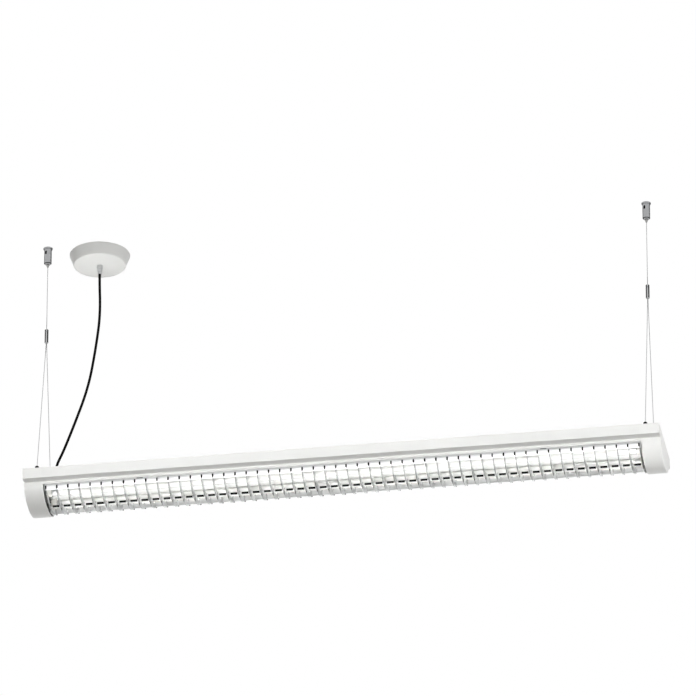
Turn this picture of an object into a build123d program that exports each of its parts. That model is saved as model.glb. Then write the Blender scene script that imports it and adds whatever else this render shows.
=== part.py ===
from build123d import *
import os
from math import cos, floor, pi, radians, sin, tan

# Suspended office light for two tubular lamps, hung on two Y-shaped wire sets.
# Frame: X along the lamps, Y from front to back, Z up. The origin lies in the ceiling
# plane, midway between the two wire holders. All sizes are in millimetres.

# Lamps: slim tubes with a two-pin base at each end
LAMP_LENGTH = 1149.0
LAMP_DIAMETER = 16.0
LAMP_WALL = 0.8
LAMP_SPACING = 54.0
BASE_LENGTH = 10.0
PIN_DIAMETER = 2.4
PIN_LENGTH = 7.0
PIN_SPACING = 5.0

# Lampholders at both ends of each lamp
HOLDER_THICKNESS = 11.0
HOLDER_WIDTH = 18.0
HOLDER_BACK = 2.0
ROTOR_DIAMETER = 12.0
HOLDER_FOOT = (6.0, 10.0, 3.0)

# Housing: a folded sheet channel with a fascia, an inward ledge and a short lip
WIDTH = 160.0
FASCIA = 22.0
LEDGE = 18.0
LIP = 6.0
SHEET = 0.8
BEND = 0.7

# End caps: one moulding each, with the whole section of the light
CAP_LENGTH = 38.0
CAP_WALL = 2.5
LOWER_STRAIGHT = 4.0
LOWER_CURVE = 31.0
CAP_EDGE = 2.2
CAP_SCREW_SPACING = 92.0
CAP_SCREW_INSET = 9.0
CAP_SCREW_DIAMETER = 3.0
CAP_SCREW_LENGTH = 9.0
CAP_SCREW_HEAD = 6.0
CAP_SCREW_HEAD_HEIGHT = 2.0
CAP_BOSS_WALL = 2.0

# Reflector tray, ballast and terminal block above the lamps
TRAY_SHEET = 0.6
TRAY_MARGIN = 3.0
BALLAST = (360.0, 30.0, 16.0)
BALLAST_FOOT = (14.0, 2.0)
BALLAST_SCREW_DIAMETER = 4.0
BALLAST_SCREW_HEAD = 8.0
BALLAST_SCREW_HEAD_HEIGHT = 2.4
BALLAST_SCREW_BELOW = 1.4
HEAD_CHAMFER = 0.8
BALLAST_EDGE = 1.5
WIRE_ENTRY = 2.5
WIRE_ENTRY_DEPTH = 8.0
TERMINAL = (34.0, 20.0, 13.0)
TERMINAL_INSET = 52.0
TERMINAL_WELL = 4.0

# Louvre: crescent blades tabbed into two curved rails, with a spine along the middle
BLADE_PITCH = 22.0
BLADE_SHEET = 1.0
BLADE_LAMP_AIR = 2.4
BLADE_TIP = 6.0
RAIL_SHEET = 0.8
RAIL_HEIGHT = 12.0
RAIL_ABOVE = 0.5
TAB_HEIGHT = 7.0
TAB_FOOT = 1.8
SPINE_WIDTH = 3.2
SPINE_HEIGHT = 3.2
SPINE_ABOVE = 7.8
SPINE_SHEET = 0.6
LOUVRE_SIDE_GAP = 4.0
LOUVRE_BOTTOM_GAP = 0.6
LOUVRE_END_GAP = 2.0
PIVOT_DIAMETER = 2.4
PIVOT_LENGTH = 7.0
PIVOT_DROP = 3.5
PIVOT_EAR = (12.0, 2.2)
PIVOT_PLATE = 1.5
CATCH_WIDTH = 12.0
CATCH_SHEET = 0.5
CATCH_SHARE = 0.82

# Wire suspension
DROP = 524.0
WIRE_INSET = 28.0
WIRE_DIAMETER = 1.5
STRAND_INSET = 7.0
STRAND_EXIT = 2.0
STRAND_DEPTH = 5.0
BALL_DIAMETER = 4.0
PLUG_DIAMETER = 8.0
PLUG_HEIGHT = 6.5
PLUG_ROUND = 2.6
PLUG_STEM = 6.0
PLUG_STEM_BELOW = 2.0
PLUG_BORE = 2.1
SPLITTER_TOP = 181.0
SPLITTER_LENGTH = 30.0
SPLITTER_DIAMETER = 7.5
SPLITTER_CHAMFER = 0.8
GRUB_DIAMETER = 3.0
GRUB_SOCKET = 1.5
GRUB_SOCKET_DEPTH = 1.2

# Ceiling holders that grip the upper wires
FLANGE_DIAMETER = 18.5
FLANGE_THICKNESS = 3.0
FLANGE_CHAMFER = 0.8
SPIGOT_DIAMETER = 10.0
SPIGOT_LENGTH = 4.0
CEILING_SCREW_HOLE = 4.2
GRIP_DIAMETER = 15.0
GRIP_LENGTH = 33.0
GRIP_CAVITY = 9.0
GRIP_FLOOR = 3.0
GRIP_CHAMFER = 2.4
SLOT_WIDTH = 4.0
SLOT_LENGTH = 8.0
SLOT_ANGLE = -113.0
PLUNGER_DIAMETER = 5.0
PLUNGER_COLLAR = 8.0
PLUNGER_COLLAR_HEIGHT = 2.2
PLUNGER_REACH = 6.0
PLUNGER_TIP = 3.4
PLUNGER_TRAVEL = 3.0
COLLET_HEIGHT = 8.0
COLLET_LOW = 6.0
SPRING_DIAMETER = 8.0
SPRING_WIRE = 0.9
WIRE_BORE = 2.0

# Ceiling canopy with its strap, threaded stem, cord grip and terminal block
CANOPY_FROM_HOLDER = 96.0
CANOPY_BACK = 45.0
CANOPY_RIM = 120.0
CANOPY_BOTTOM = 103.0
CANOPY_HEIGHT = 23.0
CANOPY_WALL = 2.0
CANOPY_EDGE = 3.0
STRAP = (76.0, 16.0, 1.5)
STRAP_HOLE = 4.5
STRAP_HOLE_SPACING = 60.0
STEM_DIAMETER = 8.0
STEM_BORE = 6.0
NUT_ACROSS = 13.0
NUT_HEIGHT = 3.5
GRIP_TOP = 11.5
GRIP_END = 7.4
CORD_GRIP_LENGTH = 19.0
CORD_GRIP_THREAD = 7.0
CORD_GRIP_STEP = 1.0
CANOPY_BLOCK = (14.0, 24.0, 12.0)
CANOPY_BLOCK_PLACE = 24.0

# Power cord and its gland on the housing
CORD_DIAMETER = 5.2
GLAND_FROM_END = 49.0
GLAND_THREAD = 12.0
GLAND_HEX = 17.0
GLAND_HEX_HEIGHT = 4.0
GLAND_DOME = 14.0
GLAND_DOME_HEIGHT = 16.0
GLAND_LIP = 1.5
GLAND_THREAD_LENGTH = 8.0

# Clearances
FIT = 0.1
RUNNING = 0.05
AIR = 0.5

# Levels and places that follow from the sizes above
TOP = -DROP
HALF_WIDTH = WIDTH / 2
LOWER_HALF = HALF_WIDTH - LEDGE
LEDGE_Z = TOP - FASCIA
CURVE_Z = LEDGE_Z - LOWER_STRAIGHT
BOTTOM_Z = CURVE_Z - LOWER_CURVE
TRAY_Z = LEDGE_Z + SHEET
LAMP_Z = TRAY_Z - AIR - LAMP_DIAMETER / 2
LAMP_HALF = LAMP_LENGTH / 2
OPENING_HALF = LAMP_HALF + AIR + HOLDER_THICKNESS + 2 * AIR
HALF_LENGTH = OPENING_HALF + CAP_LENGTH
PLATE_HALF = HALF_LENGTH - CAP_WALL - FIT
WIRE_X = HALF_LENGTH - WIRE_INSET
FOOT_Y = HALF_WIDTH - STRAND_INSET
LOUVRE_HALF = OPENING_HALF - LOUVRE_END_GAP
LOUVRE_SIDE = LOWER_HALF - LOUVRE_SIDE_GAP
LOUVRE_DEPTH = LOWER_CURVE - LOUVRE_BOTTOM_GAP
PIVOT_Y = LOUVRE_SIDE + RAIL_SHEET
PIVOT_Z = CURVE_Z - PIVOT_DROP
CAP_SCREW_X = HALF_LENGTH - CAP_WALL - CAP_SCREW_INSET
GRIP_TOP_Z = -FLANGE_THICKNESS
GRIP_BOTTOM_Z = GRIP_TOP_Z - GRIP_LENGTH
NIPPLE_Z = GRIP_BOTTOM_Z - PLUNGER_REACH
SWING_Z = NIPPLE_Z - AIR
SPLITTER_Z = -SPLITTER_TOP - SPLITTER_LENGTH
CANOPY_X = CANOPY_FROM_HOLDER - WIRE_X
GLAND_X = GLAND_FROM_END - HALF_LENGTH
WIRE_PLACE = (WIRE_X, 0.0)
CANOPY_PLACE = (CANOPY_X, CANOPY_BACK)
GLAND_PLACE = (GLAND_X, 0.0)

# Route of the power cord, from the canopy's grip down to the gland on the housing
CORD_START = (CANOPY_X, CANOPY_BACK, -CANOPY_HEIGHT - CORD_GRIP_LENGTH)
CORD_END = (GLAND_X, 0.0, TOP + GLAND_HEX_HEIGHT + GLAND_DOME_HEIGHT)
CORD_ROUTE = [
    CORD_START,
    (-500.7, 44.8, -70.0),
    (-498.6, 42.0, -108.0),
    (-498.6, 37.5, -150.0),
    (-501.6, 31.5, -192.0),
    (-506.5, 25.5, -240.0),
    (-513.0, 20.5, -288.0),
    (-523.0, 16.0, -332.0),
    (-536.5, 12.0, -376.0),
    (-550.0, 7.5, -419.0),
    (-562.5, 3.6, -456.0),
    (-573.5, 0.8, -482.0),
    CORD_END,
]

LOW = (Align.CENTER, Align.CENTER, Align.MIN)
nodes = {}


def block(x, y, z):
    """A box between the low and high values of each axis."""
    sizes = [high - low for low, high in (x, y, z)]
    centre = [(high + low) / 2 for low, high in (x, y, z)]
    return Pos(*centre) * Box(*sizes)


def rod(start, end, diameter, end_diameter=None):
    """A round bar, or a cone, from one point to another."""
    run = Vector(*end) - Vector(*start)
    if end_diameter is None:
        form = Cylinder(diameter / 2, run.length, align=LOW)
    else:
        form = Cone(diameter / 2, end_diameter / 2, run.length, align=LOW)
    return Plane(origin=start, z_dir=run) * form


def upright(place, first, last, diameter, end_diameter=None):
    """A round bar, or a cone, along Z from one level to another."""
    return rod((*place, first), (*place, last), diameter, end_diameter)


def hexagon(x, y, z, across):
    """A hexagonal bar along Z between two levels."""
    outline = RegularPolygon(across / 2, 6, major_radius=False)
    return Pos(x, y, z[0]) * extrude(outline, z[1] - z[0])


def along_x(outline, x):
    """Pushes an outline, drawn in Y and Z, from one X to another."""
    return extrude(Plane.YZ.offset(x[0]) * outline, x[1] - x[0])


def flat(y, z):
    """A rectangle in Y and Z."""
    return Pos((y[0] + y[1]) / 2, (z[0] + z[1]) / 2) * Rectangle(y[1] - y[0], z[1] - z[0])


def both_sides(outline):
    """An outline and its mirror image across the middle plane."""
    return outline + mirror(outline, about=Plane.YZ)


def flipped(shape):
    """The same piece at the other end of the light."""
    return mirror(shape, about=Plane.YZ)


def group(pieces):
    """Separate solids kept together in one node."""
    return Compound([solid for piece in pieces for solid in piece.solids()])


def edges_at(shape, axis, place):
    """The edges that lie wholly at one place along an axis."""
    return shape.edges().filter_by_position(axis, place - 0.01, place + 0.01)


# Housing


def side_profile():
    """Fascia, ledge and lip of the front side, as one folded strip."""
    outer, inner = -HALF_WIDTH, -HALF_WIDTH + SHEET
    lip, lip_inner = -LOWER_HALF, -LOWER_HALF + SHEET
    lip_z = LEDGE_Z - LIP
    return make_face(Polyline(
        (outer, TOP - SHEET), (outer, LEDGE_Z), (lip, LEDGE_Z), (lip, lip_z),
        (lip_inner, lip_z), (lip_inner, TRAY_Z), (inner, TRAY_Z), (inner, TOP - SHEET),
        close=True))


def cap_screw_places():
    return [(sx * CAP_SCREW_X, sy * CAP_SCREW_SPACING / 2) for sx in (-1, 1) for sy in (-1, 1)]


def plug_places():
    return [(sx * WIRE_X, sy * FOOT_Y) for sx in (-1, 1) for sy in (-1, 1)]


def housing():
    """Channel of folded sheet: its top plate runs on over both end caps."""
    plate = block((-PLATE_HALF, PLATE_HALF), (-HALF_WIDTH, HALF_WIDTH), (TOP - SHEET, TOP))
    side = along_x(side_profile(), (-OPENING_HALF + FIT, OPENING_HALF - FIT))
    channel = plate + side + mirror(side, about=Plane.XZ)
    long_edges = channel.edges().filter_by(Axis.X)
    outer = long_edges.filter_by(lambda e: abs(abs(e.center().Y) - HALF_WIDTH) < 0.01)
    levels = (TOP, LEDGE_Z)
    folds = outer.filter_by(lambda e: min(abs(e.center().Z - level) for level in levels) < 0.01)
    channel = fillet(folds, BEND)
    through = (TOP - 2 * SHEET, TOP + SHEET)
    holes = [(x, y, PLUG_STEM + 2 * FIT) for x, y in plug_places()]
    holes += [(x, y, CAP_SCREW_DIAMETER + 2 * FIT) for x, y in cap_screw_places()]
    holes.append((GLAND_X, 0.0, GLAND_THREAD + 2 * FIT))
    for x, y, diameter in holes:
        channel -= upright((x, y), through[0], through[1], diameter)
    return channel


# End caps


def section(inset):
    """Outline of the whole light in section, drawn in by a wall thickness."""
    fascia = flat((-HALF_WIDTH + inset, HALF_WIDTH - inset), (LEDGE_Z + inset, TOP))
    neck = flat((-LOWER_HALF + inset, LOWER_HALF - inset), (CURVE_Z, LEDGE_Z + inset))
    bowl = Pos(0, CURVE_Z) * Ellipse(LOWER_HALF - inset, LOWER_CURVE - inset)
    bowl &= flat((-HALF_WIDTH, HALF_WIDTH), (BOTTOM_Z, CURVE_Z))
    return fascia + neck + bowl


def end_cap():
    """Right end cap: end wall, rim, screw bosses and the bearing of the louvre's pivot."""
    inner_x, wall_x = OPENING_HALF, HALF_LENGTH - CAP_WALL
    cap = along_x(section(0.0), (inner_x, HALF_LENGTH))
    cap = fillet(edges_at(cap, Axis.X, HALF_LENGTH), CAP_EDGE)
    cap -= along_x(section(CAP_WALL), (inner_x, wall_x))
    seat = TOP - SHEET - FIT
    cap -= block((inner_x, wall_x), (-HALF_WIDTH, HALF_WIDTH), (seat, TOP))
    boss = CAP_SCREW_DIAMETER + 2 * CAP_BOSS_WALL
    pilot = CAP_SCREW_DIAMETER + FIT
    foot = seat - CAP_SCREW_LENGTH - CAP_BOSS_WALL
    for side in (-1, 1):
        y = side * CAP_SCREW_SPACING / 2
        cap += block((CAP_SCREW_X - boss / 2, wall_x), (y - boss / 2, y + boss / 2), (foot, seat))
        cap -= rod((CAP_SCREW_X, y, foot + CAP_BOSS_WALL / 2), (CAP_SCREW_X, y, seat), pilot)
    bearing_end = inner_x + PIVOT_LENGTH + CAP_WALL / 2
    bearing = PIVOT_DIAMETER + 2 * CAP_WALL * 0.6
    cap += rod((inner_x, PIVOT_Y, PIVOT_Z), (bearing_end, PIVOT_Y, PIVOT_Z), bearing)
    bore_end = inner_x + PIVOT_LENGTH
    bore = PIVOT_DIAMETER + 2 * RUNNING
    return cap - rod((inner_x, PIVOT_Y, PIVOT_Z), (bore_end, PIVOT_Y, PIVOT_Z), bore)


def cap_screws():
    """Pan-head screws through the top plate into the caps' bosses."""
    screws = []
    for x, y in cap_screw_places():
        crown = TOP + CAP_SCREW_HEAD_HEIGHT
        head = upright((x, y), TOP, crown, CAP_SCREW_HEAD)
        head = chamfer(edges_at(head, Axis.Z, crown), HEAD_CHAMFER)
        tip = (x, y, TOP - SHEET - CAP_SCREW_LENGTH)
        screws.append(head + rod((x, y, TOP), tip, CAP_SCREW_DIAMETER))
    return group(screws)


# Tray and electrical gear


def lamp_ys():
    return {"front": -LAMP_SPACING / 2, "rear": LAMP_SPACING / 2}


def holder_x():
    """Span of the right lampholders along X."""
    near = LAMP_HALF + AIR
    return near, near + HOLDER_THICKNESS


def ballast_screw_x():
    return BALLAST[0] / 2 + BALLAST_FOOT[0] / 2


def reflector_tray():
    """Flat painted tray on the housing's ledges, slotted for the lampholders' feet."""
    half_y = HALF_WIDTH - SHEET - TRAY_MARGIN
    span = OPENING_HALF - AIR
    tray = block((-span, span), (-half_y, half_y), (TRAY_Z, TRAY_Z + TRAY_SHEET))
    middle = sum(holder_x()) / 2
    length, width, _ = HOLDER_FOOT
    for y in lamp_ys().values():
        for x in (-middle, middle):
            slot_x = (x - length / 2 - FIT, x + length / 2 + FIT)
            slot_y = (y - width / 2 - FIT, y + width / 2 + FIT)
            tray -= block(slot_x, slot_y, (TRAY_Z - SHEET, TRAY_Z + SHEET))
    for x in (-ballast_screw_x(), ballast_screw_x()):
        hole = BALLAST_SCREW_DIAMETER + FIT
        tray -= upright((x, 0), TRAY_Z - SHEET, TRAY_Z + SHEET, hole)
    return tray


def ballast():
    """Slim electronic ballast with a screw foot and wire entries at each end."""
    length, width, height = BALLAST
    foot, thickness = BALLAST_FOOT
    base = TRAY_Z + TRAY_SHEET
    half_y = width / 2
    body = block((-length / 2, length / 2), (-half_y, half_y), (base, base + height))
    body = chamfer(edges_at(body, Axis.Z, base + height), BALLAST_EDGE)
    plate_x = length / 2 + foot
    body += block((-plate_x, plate_x), (-half_y, half_y), (base, base + thickness))
    for x in (-ballast_screw_x(), ballast_screw_x()):
        hole = BALLAST_SCREW_DIAMETER + 2 * FIT
        body -= upright((x, 0), base, base + thickness, hole)
    for side in (-1, 1):
        for entry in range(3):
            y = (entry - 1) * width / 4
            mouth = (side * length / 2, y, base + height / 2)
            bottom = (side * (length / 2 - WIRE_ENTRY_DEPTH), y, base + height / 2)
            body -= rod(mouth, bottom, WIRE_ENTRY)
    return body


def ballast_screws():
    screws = []
    base = TRAY_Z + TRAY_SHEET + BALLAST_FOOT[1]
    for x in (-ballast_screw_x(), ballast_screw_x()):
        crown = base + BALLAST_SCREW_HEAD_HEIGHT
        head = upright((x, 0), base, crown, BALLAST_SCREW_HEAD)
        head = chamfer(edges_at(head, Axis.Z, crown), HEAD_CHAMFER)
        tip = (x, 0, TRAY_Z - BALLAST_SCREW_BELOW)
        screws.append(head + rod((x, 0, base), tip, BALLAST_SCREW_DIAMETER))
    return group(screws)


def connector(x, y, z, size, across):
    """A terminal block of moulded poles: a grooved bar with screw wells on top."""
    sx, sy, sz = size
    bar = block((x - sx / 2, x + sx / 2), (y - sy / 2, y + sy / 2), (z, z + sz))
    poles = 3
    for pole in range(poles):
        shift = (pole - 1) * (sx if across == "x" else sy) / poles
        place = (x + shift, y) if across == "x" else (x, y + shift)
        well = rod((*place, z + sz / 2), (*place, z + sz), TERMINAL_WELL)
        bar -= well
    return bar


def terminal_block():
    x = TERMINAL_INSET - OPENING_HALF + TERMINAL[0] / 2
    return connector(x, 0.0, TRAY_Z + TRAY_SHEET, TERMINAL, "x")


# Lampholders and lamps


def lampholder(lamp_y):
    """Right lampholder of one lamp: rounded below, open in front for the rotor and the pins."""
    near, far = holder_x()
    half = HOLDER_WIDTH / 2
    sides = (lamp_y - half, lamp_y + half)
    bowl = Pos(lamp_y, LAMP_Z) * Circle(half) & flat(sides, (LAMP_Z - half, LAMP_Z))
    outline = flat(sides, (LAMP_Z, TRAY_Z)) + bowl
    body = along_x(outline, (near, far))
    length, width, height = HOLDER_FOOT
    middle = (near + far) / 2
    body += block((middle - length / 2, middle + length / 2), (lamp_y - width / 2, lamp_y + width / 2),
                  (TRAY_Z, TRAY_Z + height))
    body -= rod((near, lamp_y, LAMP_Z), (far - HOLDER_BACK, lamp_y, LAMP_Z), ROTOR_DIAMETER + 2 * RUNNING)
    gate = PIN_DIAMETER + 4 * FIT
    gate_y = (lamp_y - gate / 2, lamp_y + gate / 2)
    return body - block((near, far - HOLDER_BACK), gate_y, (LAMP_Z - HOLDER_WIDTH, LAMP_Z))


def rotor(lamp_y):
    """Right rotor of one lamp: a disc with the slot that takes both pins."""
    near, far = holder_x()
    disc = rod((near, lamp_y, LAMP_Z), (far - HOLDER_BACK - FIT, lamp_y, LAMP_Z), ROTOR_DIAMETER)
    slot_half = (PIN_SPACING + PIN_DIAMETER) / 2 + FIT
    slot_wide = PIN_DIAMETER / 2 + FIT
    return disc - block((near, near + PIN_LENGTH), (lamp_y - slot_half, lamp_y + slot_half),
                        (LAMP_Z - slot_wide, LAMP_Z + slot_wide))


def lamp_glass(lamp_y):
    half = LAMP_HALF - BASE_LENGTH
    tube = rod((-half, lamp_y, LAMP_Z), (half, lamp_y, LAMP_Z), LAMP_DIAMETER)
    return tube - rod((-half, lamp_y, LAMP_Z), (half, lamp_y, LAMP_Z), LAMP_DIAMETER - 2 * LAMP_WALL)


def lamp_base(lamp_y):
    """Right base of one lamp: a metal cup with two pins."""
    start, end = LAMP_HALF - BASE_LENGTH, LAMP_HALF
    cup = rod((start, lamp_y, LAMP_Z), (end, lamp_y, LAMP_Z), LAMP_DIAMETER)
    cup = chamfer(edges_at(cup, Axis.X, end), 0.8)
    for side in (-1, 1):
        y = lamp_y + side * PIN_SPACING / 2
        cup += rod((end, y, LAMP_Z), (end + PIN_LENGTH, y, LAMP_Z), PIN_DIAMETER)
    return cup


# Louvre


def blade_places():
    """X of each blade's middle plane, spread evenly about the middle of the light."""
    room = 2 * LOUVRE_HALF - 2 * BLADE_SHEET
    gaps = floor(room / BLADE_PITCH)
    return [(step - gaps / 2) * BLADE_PITCH for step in range(gaps + 1)]


def louvre_curve(inset):
    return Pos(0, CURVE_Z) * Ellipse(LOUVRE_SIDE - inset, LOUVRE_DEPTH - inset)


def tab_levels():
    high = CURVE_Z - RAIL_HEIGHT / 3
    return high - TAB_HEIGHT, high


def blade_crown():
    """Height of the blades' upper curve below its ends, enough to pass under the lamps."""
    reach = LOUVRE_SIDE - RAIL_SHEET - BLADE_TIP
    lamp_drop = CURVE_Z - (LAMP_Z - LAMP_DIAMETER / 2 - BLADE_LAMP_AIR)
    return reach, lamp_drop / (1 - (LAMP_SPACING / 2 / reach) ** 2) ** 0.5


def tab_reach():
    """Y of the rail's outer side and of the outer side of a tab bent over it."""
    inner = LOUVRE_SIDE + RUNNING
    return inner, inner + BLADE_SHEET


def spine_levels():
    low = CURVE_Z - LOUVRE_DEPTH + SPINE_ABOVE
    return low, low + SPINE_HEIGHT


def blade_outline():
    """Crescent plate with an end tab each side and a notch for the spine."""
    reach, crown = blade_crown()
    inset = RAIL_SHEET + FIT
    plate = louvre_curve(inset) - Pos(0, CURVE_Z) * Ellipse(reach, crown)
    plate &= flat((-HALF_WIDTH, HALF_WIDTH), (BOTTOM_Z, CURVE_Z))
    tabs = both_sides(flat((reach + BLADE_TIP / 2, tab_reach()[1]), tab_levels()))
    notch = SPINE_WIDTH / 2 + FIT
    return plate + tabs - flat((-notch, notch), (spine_levels()[0] - FIT, CURVE_Z))


def louvre_blade():
    """One blade of the left half: a plate whose tabs are bent over the rails, towards the middle."""
    half = BLADE_SHEET / 2
    plate = along_x(blade_outline(), (-half, half))
    foot = block((-half, half + TAB_FOOT), tab_reach(), tab_levels())
    return plate + foot + mirror(foot, about=Plane.XZ)


def louvre_blades():
    """All the cross blades, each a separate plate."""
    left = louvre_blade()
    right = flipped(left)
    return group([Pos(x, 0, 0) * (left if x < 0 else right) for x in blade_places()])


def louvre_rail():
    """Front rail: a strip bent to the louvre's curve, slotted for the blades' tabs."""
    strip = louvre_curve(0.0) - louvre_curve(RAIL_SHEET)
    high = CURVE_Z + RAIL_ABOVE
    strip &= flat((-HALF_WIDTH, 0), (high - RAIL_HEIGHT, high))
    rail = along_x(strip, (-LOUVRE_HALF, LOUVRE_HALF))
    low_tab, high_tab = tab_levels()
    slot = BLADE_SHEET / 2 + FIT
    slot_y = (-HALF_WIDTH, -LOUVRE_SIDE + LOUVRE_SIDE_GAP)
    slot_z = (low_tab - FIT, high_tab + FIT)
    return rail - [block((x - slot, x + slot), slot_y, slot_z) for x in blade_places()]


def louvre_spine():
    """Folded strip, open at the top, that drops into the blades' notches."""
    low, high = spine_levels()
    half = SPINE_WIDTH / 2
    inside = half - SPINE_SHEET
    strip = flat((-half, half), (low, high)) - flat((-inside, inside), (low + SPINE_SHEET, high))
    return along_x(strip, (-LOUVRE_HALF, LOUVRE_HALF))


def louvre_pivot():
    """Right pivot: an ear along the rear rail, an end plate and the pin that turns in the cap."""
    ear_length, ear_height = PIVOT_EAR
    face = LOUVRE_HALF + FIT / 2
    ear_y = (LOUVRE_SIDE + RUNNING, LOUVRE_SIDE + RUNNING + RAIL_SHEET)
    ear_high = CURVE_Z - RUNNING
    pivot = block((face - ear_length, face + PIVOT_PLATE), ear_y, (ear_high - ear_height, ear_high))
    plate_end = face + PIVOT_PLATE
    plate = PIVOT_DIAMETER + 2 * CAP_WALL / 2
    pivot += rod((face, PIVOT_Y, PIVOT_Z), (plate_end, PIVOT_Y, PIVOT_Z), plate)
    pivot += block((face, plate_end), ear_y, (PIVOT_Z, ear_high))
    pin_end = OPENING_HALF + PIVOT_LENGTH - AIR
    return pivot + rod((plate_end, PIVOT_Y, PIVOT_Z), (pin_end, PIVOT_Y, PIVOT_Z), PIVOT_DIAMETER)


def catch_spring():
    """Right leaf spring on the front lip, with a bulge that holds the louvre's front rail."""
    places = blade_places()
    step = round(CATCH_SHARE * len(places))
    x = (places[step] + places[step + 1]) / 2
    wall = -LOWER_HALF + SHEET + CATCH_SHEET / 2 + FIT / 2
    bulge = -LOUVRE_SIDE - CATCH_SHEET / 2 - 0.3
    high = LEDGE_Z - AIR
    lip_z = LEDGE_Z - LIP
    bend = Polyline((wall, high), (wall, high - LIP / 2), (bulge, lip_z + LIP / 8), (wall, lip_z - LIP / 4))
    leaf = trace(bend, CATCH_SHEET)
    return along_x(leaf, (x - CATCH_WIDTH / 2, x + CATCH_WIDTH / 2))


# Wire suspension


def strand_line(side):
    """Two points on one slanting strand of the right set: its exit and the middle of its plug."""
    exit_point = Vector(WIRE_X, side * STRAND_EXIT, SPLITTER_Z)
    foot = Vector(WIRE_X, side * FOOT_Y, TOP + (PLUG_HEIGHT - SHEET - PLUG_STEM_BELOW) / 2)
    return exit_point, foot


def strand_point(side, level):
    """The strand's axis at a height."""
    exit_point, foot = strand_line(side)
    share = (level - exit_point.Z) / (foot.Z - exit_point.Z)
    return exit_point + (foot - exit_point) * share


def wire_plug():
    """Right front plug: a rounded grommet with a stem through the top plate and a slanting bore."""
    x, y = WIRE_X, -FOOT_Y
    high = TOP + PLUG_HEIGHT
    low = TOP - SHEET - PLUG_STEM_BELOW
    plug = upright((x, y), TOP, high, PLUG_DIAMETER)
    plug = fillet(edges_at(plug, Axis.Z, high), PLUG_ROUND)
    plug += upright((x, y), TOP, low, PLUG_STEM)
    bore_low = strand_point(-1, low - PLUG_HEIGHT)
    bore_high = strand_point(-1, high + PLUG_HEIGHT)
    return plug - rod(tuple(bore_low), tuple(bore_high), PLUG_BORE)


def wire_plugs():
    front = wire_plug()
    rear = mirror(front, about=Plane.XZ)
    return group([front, rear, flipped(front), flipped(rear)])


def strand(side):
    """Right strand on one side: a wire from the splitter to a ball under the plug."""
    upper = strand_point(side, SPLITTER_Z + STRAND_DEPTH)
    ball_z = TOP - SHEET - PLUG_STEM_BELOW - BALL_DIAMETER / 2 - 2 * FIT
    ball = strand_point(side, ball_z)
    return rod(tuple(upper), tuple(ball), WIRE_DIAMETER) + Pos(*tuple(ball)) * Sphere(BALL_DIAMETER / 2)


def upper_wire():
    """Right upper wire, from the holder's nipple down into the splitter."""
    end = -SPLITTER_TOP - SPLITTER_LENGTH / 3 + AIR
    return upright(WIRE_PLACE, SWING_Z - AIR / 2, end, WIRE_DIAMETER)


def grub_levels():
    return -SPLITTER_TOP - SPLITTER_LENGTH / 5, SPLITTER_Z + STRAND_DEPTH / 2


def wire_splitter():
    """Right splitter: a turned barrel where one wire becomes two."""
    top = -SPLITTER_TOP
    barrel = upright(WIRE_PLACE, SPLITTER_Z, top, SPLITTER_DIAMETER)
    barrel = chamfer(edges_at(barrel, Axis.Z, top) + edges_at(barrel, Axis.Z, SPLITTER_Z), SPLITTER_CHAMFER)
    bore = WIRE_DIAMETER + 2 * RUNNING
    barrel -= upright(WIRE_PLACE, top - SPLITTER_LENGTH / 3, top, bore)
    for side in (-1, 1):
        inner = strand_point(side, SPLITTER_Z + STRAND_DEPTH + FIT)
        outer = strand_point(side, SPLITTER_Z - STRAND_DEPTH)
        barrel -= rod(tuple(inner), tuple(outer), bore)
    reach = SPLITTER_DIAMETER / 2
    upper_z, lower_z = grub_levels()
    grub_hole = GRUB_DIAMETER + FIT
    barrel -= rod((WIRE_X, 0, upper_z), (WIRE_X, -reach, upper_z), grub_hole)
    return barrel - rod((WIRE_X + WIRE_DIAMETER / 2, 0, lower_z), (WIRE_X + reach, 0, lower_z), grub_hole)


def splitter_screws():
    """Right pair of grub screws that pinch the wires."""
    reach = SPLITTER_DIAMETER / 2 - FIT
    tip = WIRE_DIAMETER / 2 + RUNNING
    upper_z, lower_z = grub_levels()
    upper = rod((WIRE_X, -tip, upper_z), (WIRE_X, -reach, upper_z), GRUB_DIAMETER)
    upper -= rod((WIRE_X, -reach + GRUB_SOCKET_DEPTH, upper_z), (WIRE_X, -reach, upper_z), GRUB_SOCKET)
    lower = rod((WIRE_X + tip, 0, lower_z), (WIRE_X + reach, 0, lower_z), GRUB_DIAMETER)
    lower -= rod((WIRE_X + reach - GRUB_SOCKET_DEPTH, 0, lower_z), (WIRE_X + reach, 0, lower_z), GRUB_SOCKET)
    return group([upper, lower])


# Ceiling holders


def holder_base():
    """Right base: a flange against the ceiling with a spigot for the grip barrel."""
    spigot_z = GRIP_TOP_Z - SPIGOT_LENGTH
    base = upright(WIRE_PLACE, GRIP_TOP_Z, 0, FLANGE_DIAMETER)
    base = chamfer(edges_at(base, Axis.Z, GRIP_TOP_Z), FLANGE_CHAMFER)
    base += upright(WIRE_PLACE, spigot_z, GRIP_TOP_Z, SPIGOT_DIAMETER)
    return base - upright(WIRE_PLACE, spigot_z, 0, CEILING_SCREW_HOLE)


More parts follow.
